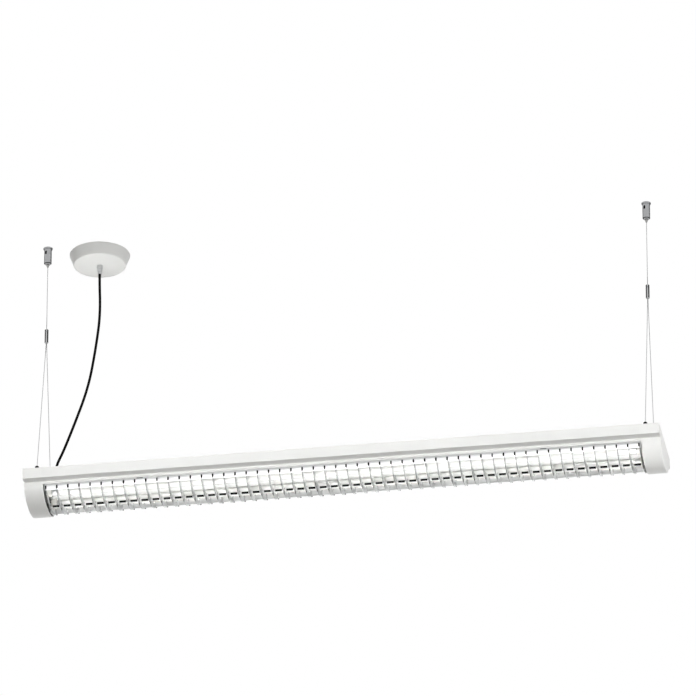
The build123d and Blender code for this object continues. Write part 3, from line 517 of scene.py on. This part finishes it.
def blade_painted_shade(tree, place):
    """Painted shade: one on a blade's tabs and collar, and a share of it on the cut edges, which don't face
    along X, a larger share on the front half.
    """
    normal = add(tree, "ShaderNodeNewGeometry").outputs["True Normal"]
    facing = add(tree, "ShaderNodeSeparateXYZ", {"Vector": normal})
    at = add(tree, "ShaderNodeSeparateXYZ", {"Vector": place})
    sideways = add(tree, "ShaderNodeMath", {0: facing.outputs["X"]}, operation="ABSOLUTE")
    cut = add(tree, "ShaderNodeMath", {
        0: sideways.outputs["Value"], 1: EDGE_FACING}, operation="LESS_THAN")
    front = add(tree, "ShaderNodeMath", {0: at.outputs["Y"], 1: 0.0}, operation="LESS_THAN")
    share = add(tree, "ShaderNodeMath", {
        0: front.outputs["Value"], 1: FRONT_EDGE - REAR_EDGE, 2: REAR_EDGE}, operation="MULTIPLY_ADD")
    edge = add(tree, "ShaderNodeMath", {
        0: cut.outputs["Value"], 1: share.outputs["Value"]}, operation="MULTIPLY")
    from_middle = add(tree, "ShaderNodeMath", {0: at.outputs["Y"]}, operation="ABSOLUTE")
    tab = add(tree, "ShaderNodeMath", {
        0: from_middle.outputs["Value"], 1: TAB_START}, operation="GREATER_THAN")
    collar = add(tree, "ShaderNodeMath", {
        0: from_middle.outputs["Value"], 1: COLLAR_HALF}, operation="LESS_THAN")
    end = add(tree, "ShaderNodeMath", {
        0: tab.outputs["Value"], 1: collar.outputs["Value"]}, operation="MAXIMUM")
    return add(tree, "ShaderNodeMath", {
        0: edge.outputs["Value"], 1: end.outputs["Value"]}, operation="MAXIMUM").outputs["Value"]


def spine_painted_shade(tree, place):
    """Painted shade: one between the blades, which stand half a pitch from the middle of each dash."""
    at = add(tree, "ShaderNodeSeparateXYZ", {"Vector": place})
    from_dash = add(tree, "ShaderNodeMath", {
        0: at.outputs["X"], 1: BLADE_PITCH / 2, 2: -BLADE_PITCH / 2}, operation="WRAP")
    distance = add(tree, "ShaderNodeMath", {0: from_dash.outputs["Value"]}, operation="ABSOLUTE")
    return add(tree, "ShaderNodeMath", {
        0: distance.outputs["Value"], 1: DASH_HALF}, operation="LESS_THAN").outputs["Value"]


print("dark parts: blade tabs, collars and edges, and dashes of the spine")

# %% [markdown]
# The louvre is bright anodised aluminium sheet with a satin shine, and the lamps' bases are greyer.
# Rolling leaves faint lines along the strip, so the rails carry theirs along the light and the blades
# across it.
# A noise that is stretched along one axis draws such lines, in the roughness and in a very shallow bump.
# Real lines are as fine as a hair, and these are wider so that they show.

# %% Bright aluminium
ALONG_X = 0
ALONG_Y = 1
LINE_MM = 0.8
LINE_STRETCH = 60.0
LINE_DEPTH = 0.05 * MM
LINE_GLOSS = (-0.03, 0.05)
# The colour of painted shade on the louvre's tabs, collars, cut edges and spine.
LOUVRE_PAINTED_SHADE = "#1C1D1E"


def bright_aluminium(name, along, bright, shade, roughness, painted_shade_part=None):
    made, tree, shader, place = new_material(name)
    squeeze = [1 / LINE_STRETCH if axis == along else 1.0 for axis in range(3)]
    stretched = add(tree, "ShaderNodeMapping", {"Vector": place, "Scale": squeeze})
    lines = add(tree, "ShaderNodeTexNoise", {
        "Vector": stretched.outputs["Vector"], "Scale": per_metre(LINE_MM), "Detail": 2.0})
    tint = add(tree, "ShaderNodeMix", {
        "Factor": lines.outputs["Fac"], "A": colour(bright), "B": colour(shade)}, data_type="RGBA")
    # Painted shade: where the mask is one, the dark colour takes over.
    if painted_shade_part:
        tint = add(tree, "ShaderNodeMix", {
            "Factor": painted_shade_part(tree, place), "A": tint.outputs["Result"], "B": colour(LOUVRE_PAINTED_SHADE)},
            data_type="RGBA")
    tree.links.new(tint.outputs["Result"], shader.inputs["Base Color"])
    gloss = add(tree, "ShaderNodeMapRange", {
        "Value": lines.outputs["Fac"],
        "To Min": roughness + LINE_GLOSS[0], "To Max": roughness + LINE_GLOSS[1]})
    tree.links.new(gloss.outputs["Result"], shader.inputs["Roughness"])
    relief = add(tree, "ShaderNodeBump", {
        "Height": lines.outputs["Fac"], "Strength": 0.03, "Distance": LINE_DEPTH})
    tree.links.new(relief.outputs["Normal"], shader.inputs["Normal"])
    shader.inputs["Metallic"].default_value = 1.0
    return made


rail_metal = bright_aluminium("satin_aluminium_rail", ALONG_X, "#F4F5F5", "#ECEDED", 0.6)
# The blades carry painted shade on their tabs, collars and cut edges.
blade_metal = bright_aluminium("satin_aluminium_blade", ALONG_Y, "#F4F5F5", "#EBECEC", 0.34, blade_painted_shade)
# The spine carries painted shade in dashes between the blades.
spine_metal = bright_aluminium("aluminium_spine_painted_shade", ALONG_X, "#F0F1F1", "#E6E7E7", 0.34, spine_painted_shade)
base_metal = bright_aluminium("satin_lamp_base", ALONG_X, "#D0D1D1", "#C2C3C4", 0.3)
print("made", [made.name for made in (rail_metal, blade_metal, spine_metal, base_metal)])

# %% [markdown]
# The lamps are slim glass tubes, coated inside with a matt white phosphor powder.
# The eye sees the white powder through clear glass, so the white is matt below and glossy on top.
# A clear coat over a white base gives both, without the noise of real glass.

# %% Lamp glass
POWDER_MM = 12.0
POWDER_WHITE = "#E6E6E4"
POWDER_SHADE = "#E0E0DD"
POWDER_ROUGHNESS = (0.5, 0.62)


def phosphor_glass():
    made, tree, shader, place = new_material("phosphor_coated_glass")
    powder = add(tree, "ShaderNodeTexNoise", {
        "Vector": place, "Scale": per_metre(POWDER_MM), "Detail": 4.0})
    tint = add(tree, "ShaderNodeMix", {
        "Factor": powder.outputs["Fac"], "A": colour(POWDER_WHITE), "B": colour(POWDER_SHADE)},
        data_type="RGBA")
    tree.links.new(tint.outputs["Result"], shader.inputs["Base Color"])
    gloss = add(tree, "ShaderNodeMapRange", {
        "Value": powder.outputs["Fac"], "To Min": POWDER_ROUGHNESS[0], "To Max": POWDER_ROUGHNESS[1]})
    tree.links.new(gloss.outputs["Result"], shader.inputs["Roughness"])
    shader.inputs["Coat Weight"].default_value = 1.0
    shader.inputs["Coat Roughness"].default_value = 0.05
    shader.inputs["Coat IOR"].default_value = 1.5
    return made


lamp_glass = phosphor_glass()
print("made", lamp_glass.name)

# %% [markdown]
# The bore, the slot and the chamfer of a ceiling holder get painted shade: shadow in the bore and the slot,
# and a dark reflection on the chamfer.
# They all lie inside the outer skin of its barrel, so the distance from the wire's axis finds them.
# Both holders stand at the same distance from the middle, so one test serves left and right.

# %% Painted shade in the holders' bore
WIRE_X = 597.0 * MM
BARREL_SKIN = 7.3 * MM
BARREL_END = -34.9 * MM


def barrel_painted_shade(tree, place):
    """Painted shade: one inside the outer skin of a holder's barrel and above its lower end, and zero
    elsewhere.
    """
    at = add(tree, "ShaderNodeSeparateXYZ", {"Vector": place})
    from_middle = add(tree, "ShaderNodeMath", {0: at.outputs["X"]}, operation="ABSOLUTE")
    beside = add(tree, "ShaderNodeMath", {
        0: from_middle.outputs["Value"], 1: WIRE_X}, operation="SUBTRACT")
    across = add(tree, "ShaderNodeCombineXYZ", {"X": beside.outputs["Value"], "Y": at.outputs["Y"]})
    radius = add(tree, "ShaderNodeVectorMath", {0: across.outputs["Vector"]}, operation="LENGTH")
    inside = add(tree, "ShaderNodeMath", {
        0: radius.outputs["Value"], 1: BARREL_SKIN}, operation="LESS_THAN")
    above = add(tree, "ShaderNodeMath", {0: at.outputs["Z"], 1: BARREL_END}, operation="GREATER_THAN")
    return add(tree, "ShaderNodeMath", {
        0: inside.outputs["Value"], 1: above.outputs["Value"]}, operation="MULTIPLY").outputs["Value"]


print("dark bore: less than", BARREL_SKIN, "m from the wire")

# %% [markdown]
# The ceiling holders, their nipples, the splitters and the cord grip are turned on a lathe and plated
# with nickel: satin on the holders, polished on the splitters, paler on the grip.
# The tool leaves fine rings round the axis, so bands along the height give the right lines on upright
# pieces.
# Real rings are a fraction of a millimetre apart, and these are some millimetres apart so that they show.
# Screws, straps, springs and wires are plainer steels, made by the same function.

# %% Turned and plated metals
# The colour of painted shade in the holders' bore, slot and chamfer.
BORE_PAINTED_SHADE = "#0E0E0F"
MOTTLE_MM = 5.0
RING_DEPTH = 0.05 * MM
RING_GLOSS = (-0.06, 0.08)
# A wave texture of scale one runs through this many radians in a metre.
WAVE_RADIANS = 20


def ringed_metal(name, bright, shade, ring_mm, roughness, painted_shade_part=None):
    made, tree, shader, place = new_material(name)
    rings = add(tree, "ShaderNodeTexWave", {
        "Vector": place, "Scale": per_metre(ring_mm) * math.tau / WAVE_RADIANS,
        "Distortion": 0.6, "Detail": 2.0}, bands_direction="Z")
    mottle = add(tree, "ShaderNodeTexNoise", {
        "Vector": place, "Scale": per_metre(MOTTLE_MM), "Detail": 3.0})
    tint = add(tree, "ShaderNodeMix", {
        "Factor": mottle.outputs["Fac"], "A": colour(bright), "B": colour(shade)}, data_type="RGBA")
    # Painted shade: where the mask is one, the dark colour takes over.
    if painted_shade_part:
        tint = add(tree, "ShaderNodeMix", {
            "Factor": painted_shade_part(tree, place), "A": tint.outputs["Result"], "B": colour(BORE_PAINTED_SHADE)},
            data_type="RGBA")
    tree.links.new(tint.outputs["Result"], shader.inputs["Base Color"])
    gloss = add(tree, "ShaderNodeMapRange", {
        "Value": rings.outputs["Fac"],
        "To Min": roughness + RING_GLOSS[0], "To Max": roughness + RING_GLOSS[1]})
    tree.links.new(gloss.outputs["Result"], shader.inputs["Roughness"])
    relief = add(tree, "ShaderNodeBump", {
        "Height": rings.outputs["Fac"], "Strength": 0.15, "Distance": RING_DEPTH})
    tree.links.new(relief.outputs["Normal"], shader.inputs["Normal"])
    shader.inputs["Metallic"].default_value = 1.0
    return made


satin_nickel = ringed_metal("satin_nickel_turned", "#B4B5B6", "#A2A3A5", 3.14, 0.36)
# The barrel carries painted shade in its bore, slot and chamfer.
barrel_nickel = ringed_metal("satin_nickel_barrel_painted_shade", "#B4B5B6", "#A2A3A5", 3.14, 0.36, barrel_painted_shade)
splitter_nickel = ringed_metal("polished_nickel_splitter", "#B9BABA", "#A9AAAA", 3.14, 0.16)
bright_nickel = ringed_metal("bright_nickel_turned", "#A9A9A7", "#999997", 2.51, 0.2)
pale_nickel = ringed_metal("pale_nickel_turned", "#CDCECF", "#BCBDBE", 3.14, 0.3)
zinc_plate = ringed_metal("zinc_plated_steel", "#C3C5C8", "#A9ACB0", 4.4, 0.34)
spring_steel = ringed_metal("plain_spring_steel", "#9FA0A2", "#8B8C8F", 5.65, 0.3)
wire_steel = ringed_metal("drawn_steel_wire", "#D6D6D6", "#CBCCCD", 5.03, 0.45)
print("made eight metals, from", satin_nickel.name, "to", wire_steel.name)

# %% [markdown]
# The cord's sheath and the plugs on the housing are black, one a dull PVC and the other matt rubber.
# Black plastics are never quite black, so a soft noise mixes two tones that are close to it.
# A finer noise makes the skin a little uneven, as extruding and moulding leave it.

# %% Black sheath and rubber
BLOOM_MM = 9.0
SKIN_DEPTH = 0.1 * MM


def black_polymer(name, deep, worn, grain_mm, roughness, shine):
    made, tree, shader, place = new_material(name)
    bloom = add(tree, "ShaderNodeTexNoise", {
        "Vector": place, "Scale": per_metre(BLOOM_MM), "Detail": 3.0})
    tint = add(tree, "ShaderNodeMix", {
        "Factor": bloom.outputs["Fac"], "A": colour(deep), "B": colour(worn)}, data_type="RGBA")
    tree.links.new(tint.outputs["Result"], shader.inputs["Base Color"])
    skin = add(tree, "ShaderNodeTexNoise", {
        "Vector": place, "Scale": per_metre(grain_mm), "Detail": 2.0})
    relief = add(tree, "ShaderNodeBump", {
        "Height": skin.outputs["Fac"], "Strength": 0.02, "Distance": SKIN_DEPTH})
    tree.links.new(relief.outputs["Normal"], shader.inputs["Normal"])
    shader.inputs["Roughness"].default_value = roughness
    shader.inputs["Specular IOR Level"].default_value = shine
    return made


sheath_pvc = black_polymer("black_pvc_sheath", "#030303", "#060606", 3.0, 0.8, 0.1)
plug_rubber = black_polymer("black_plug_rubber", "#080808", "#0F0F0F", 0.6, 0.75, 0.25)
print("made", sheath_pvc.name, "and", plug_rubber.name)

# %% [markdown]
# Now each piece takes its finish.
# The pieces of one finish are listed by the start of their names, so that one word stands for the left
# and the right one.
# Where two starts fit a name, the longer one counts, which tells the ballast from its screws.

# %% Dress the pieces
FINISHES = [
    (housing_coat, ["housing"]),
    (reflector_coat, ["reflector_tray"]),
    (cap_abs, ["end_cap"]),
    (canopy_plastic, ["canopy_cup"]),
    (holder_pbt, ["lampholder", "rotors"]),
    (terminal_plastic, ["terminal_block", "canopy_block"]),
    (ballast_plastic, ["ballast"]),
    (gland_plastic, ["cord_gland", "gland_nut"]),
    (satin_nickel, ["holder_base"]),
    (barrel_nickel, ["grip_barrel"]),
    (splitter_nickel, ["wire_splitter"]),
    (pale_nickel, ["cord_grip"]),
    (bright_nickel, ["release_plunger", "grip_collet"]),
    (zinc_plate, ["canopy_strap", "canopy_stem", "stem_nuts"]),
    (zinc_plate, ["cap_screws", "ballast_screws", "splitter_screws"]),
    (spring_steel, ["grip_spring", "catch_spring"]),
    (wire_steel, ["wire_strand", "upper_wire", "wire_tail"]),
    (plug_rubber, ["wire_plugs"]),
    (sheath_pvc, ["power_cord"]),
    (rail_metal, ["louvre_rail", "louvre_pivot"]),
    (blade_metal, ["louvre_blades"]),
    (spine_metal, ["louvre_spine"]),
    (base_metal, ["lamp_bases"]),
    (lamp_glass, ["lamp_glass"]),
]


def finish_of(node_name):
    fitting = [(len(start), made) for made, starts in FINISHES for start in starts
               if node_name.startswith(start)]
    return max(fitting, key=lambda pair: pair[0])[1]


for node_name, piece in NODES.items():
    piece.data.materials.clear()
    piece.data.materials.append(finish_of(node_name))
NEW_FINISHES = [(cord, sheath_pvc), (cap_screws, zinc_plate)]
NEW_FINISHES += [(rope, wire_steel) for rope in ROPES]
NEW_FINISHES += [(spring, spring_steel) for spring in SPRINGS]
for piece, made in NEW_FINISHES:
    piece.data.materials.append(made)
print("dressed", len(NODES), "nodes and", len(NEW_FINISHES), "new pieces")

# %% [markdown]
# The stage is a studio where everything is white paper, with a pale floor far below the light.
# The floor is white to the camera, to reflections and through glass, and plain paper to all other light.
# Its material asks the Light Path node which kind of ray arrives.

# %% Floor
FLOOR_Z = -24.0
FLOOR_HALF = 120.0
PAPER = "#DCDCDA"
WHITE = (1.0, 1.0, 1.0, 1.0)


def seen_directly(tree):
    """One where the ray comes from the camera, a reflection or a glass, and zero elsewhere."""
    path = add(tree, "ShaderNodeLightPath")
    glossy = add(tree, "ShaderNodeMath", {
        0: path.outputs["Is Camera Ray"], 1: path.outputs["Is Glossy Ray"]}, operation="MAXIMUM")
    every = add(tree, "ShaderNodeMath", {
        0: glossy.outputs["Value"], 1: path.outputs["Is Transmission Ray"]}, operation="MAXIMUM")
    return every.outputs["Value"]


floor_shape = bmesh.new()
bmesh.ops.create_grid(floor_shape, x_segments=4, y_segments=4, size=FLOOR_HALF)
bmesh.ops.translate(floor_shape, vec=(0.0, 0.0, FLOOR_Z), verts=floor_shape.verts)
floor = new_object("floor", mesh_of("floor", floor_shape))
floor_paper, paper_tree = bare_material("pale_floor_paper")
paper = add(paper_tree, "ShaderNodeBsdfDiffuse", {"Color": colour(PAPER)})
white = add(paper_tree, "ShaderNodeEmission", {"Color": WHITE, "Strength": 1.0})
paper_mix = add(paper_tree, "ShaderNodeMixShader", {
    0: seen_directly(paper_tree), 1: paper.outputs["BSDF"], 2: white.outputs["Emission"]})
add(paper_tree, "ShaderNodeOutputMaterial", {"Surface": paper_mix.outputs["Shader"]})
floor.data.materials.append(floor_paper)
print("floor: at", FLOOR_Z, "m")

# %% [markdown]
# The surround is white to the same rays as the floor, but it lights the object less.
# It gives more light from the right than from the left, so that a white object still has shades.

# %% Surround
SURROUND_LIGHT = 0.55
SURROUND_TILT = 0.28

world = bpy.data.worlds.new("studio")
bpy.context.scene.world = world
world.use_nodes = True
sky = world.node_tree
sky.nodes.clear()
way = add(sky, "ShaderNodeSeparateXYZ", {"Vector": add(sky, "ShaderNodeTexCoord").outputs["Generated"]})
side_light = add(sky, "ShaderNodeMapRange", {
    "Value": way.outputs["X"], "From Min": -1.0, "From Max": 1.0,
    "To Min": SURROUND_LIGHT - SURROUND_TILT, "To Max": SURROUND_LIGHT + SURROUND_TILT})
shown = add(sky, "ShaderNodeMix", {
    "Factor": seen_directly(sky), "A": side_light.outputs["Result"], "B": 1.0}, data_type="FLOAT")
background = add(sky, "ShaderNodeBackground", {"Color": WHITE, "Strength": shown.outputs["Result"]})
add(sky, "ShaderNodeOutputWorld", {"Surface": background.outputs["Background"]})
print("surround: light", SURROUND_LIGHT, "with", SURROUND_TILT, "more on the right")

# %% [markdown]
# Polished metal shows only what stands round it, and in an all-white studio it turns flat.
# A photographer then puts dark cards beside it, just out of the picture.
# Here the cards stand left and right of each wire hanger, and only reflections see them.

# %% Dark cards
CARD_GAP = 25.0 * MM
CARD_BLACK = "#050505"
# The front, back, low and high edges of the cards beside a holder and beside a splitter.
CARD_EDGES_MM = [(2.0, 26.0, -45.0, 30.0), (-26.0, 30.0, -215.0, -150.0)]


def stand_card(shape, x, front, back, low, high):
    made = bmesh.ops.create_grid(shape, x_segments=1, y_segments=1, size=0.5)["verts"]
    upright = Matrix.Rotation(math.radians(90), 3, "Y")
    bmesh.ops.rotate(shape, cent=(0.0, 0.0, 0.0), matrix=upright, verts=made)
    bmesh.ops.scale(shape, vec=(1.0, back - front, high - low), verts=made)
    bmesh.ops.translate(shape, vec=(x, (front + back) / 2, (low + high) / 2), verts=made)


card_shape = bmesh.new()
for end_side in END_SIDES.values():
    for card_side in (-1, 1):
        card_x = end_side * WIRE_X + card_side * CARD_GAP
        for card_edges in CARD_EDGES_MM:
            stand_card(card_shape, card_x, *[edge * MM for edge in card_edges])
cards = new_object("dark_cards", mesh_of("dark_cards", card_shape))
cards.visible_camera = False
cards.visible_diffuse = False
cards.visible_shadow = False
cards.visible_transmission = False
card_paper, card_tree = bare_material("black_card_paper")
soot = add(card_tree, "ShaderNodeBsdfDiffuse", {"Color": colour(CARD_BLACK)})
add(card_tree, "ShaderNodeOutputMaterial", {"Surface": soot.outputs["BSDF"]})
cards.data.materials.append(card_paper)
print("cards:", len(cards.data.polygons))

# %% [markdown]
# Nine soft lamps light the studio, and each has one job.
# Two wide ones light the long faces in front and behind, and one above lights the top plate.
# Two with a narrow beam fill the louvre from the front and from below, and these alone show in metal,
# because a bright blade is bright only where it mirrors a lamp.
# One at each end lights the outside of the caps, a small one the curve of the right cap, and one the flat
# bottom of the canopy.
# Places and sizes are in metres, and the spread of a beam is in degrees.

# %% Lamps of the studio


def soft_lamp(name, place, aim, size, watts, spread, in_metal=False):
    data = bpy.data.lights.new(name, "AREA")
    data.shape = "RECTANGLE"
    data.size, data.size_y = size
    data.energy = watts
    data.spread = math.radians(spread)
    lamp = new_object(name, data)
    lamp.location = place
    lamp.rotation_euler = (Vector(aim) - Vector(place)).to_track_quat("-Z", "Y").to_euler()
    lamp.visible_camera = False
    lamp.visible_glossy = in_metal
    return lamp


LAMPS = [
    soft_lamp("front_lamp", place=(0.54, -3.0, -0.75), aim=(0.54, 0.0, -0.55), size=(2.6, 0.5),
              watts=2.1, spread=14.0),
    soft_lamp("rear_lamp", place=(0.0, 3.0, -0.75), aim=(0.0, 0.0, -0.55), size=(2.6, 0.5),
              watts=2.0, spread=14.0),
    soft_lamp("top_lamp", place=(0.0, 0.0, 1.6), aim=(0.0, 0.0, -0.52), size=(2.6, 1.2),
              watts=3.0, spread=40.0),
    soft_lamp("louvre_lamp_front", place=(0.0, -1.04, -1.165), aim=(0.0, 0.0, -0.563), size=(1.16, 0.06),
              watts=0.18, spread=1.2, in_metal=True),
    soft_lamp("louvre_lamp_below", place=(0.0, 0.0, -1.6), aim=(0.0, 0.0, -0.55), size=(1.16, 0.125),
              watts=0.19, spread=1.2, in_metal=True),
    soft_lamp("right_lamp", place=(3.6, -0.3, -0.56), aim=(0.625, 0.0, -0.55), size=(0.5, 0.3),
              watts=0.05, spread=8.0),
    soft_lamp("left_lamp", place=(-3.6, -0.3, -0.56), aim=(-0.625, 0.0, -0.55), size=(0.5, 0.3),
              watts=0.2, spread=8.0),
    soft_lamp("cap_lamp", place=(1.48, -0.8, -2.43), aim=(0.605, -0.03, -0.565), size=(0.05, 0.05),
              watts=0.005, spread=3.0),
    soft_lamp("canopy_lamp", place=(-0.501, -0.06, -0.42), aim=(-0.501, 0.045, 0.0), size=(0.1, 0.1),
              watts=0.075, spread=40.0),
]
print("lamps:", [lamp.name for lamp in LAMPS])
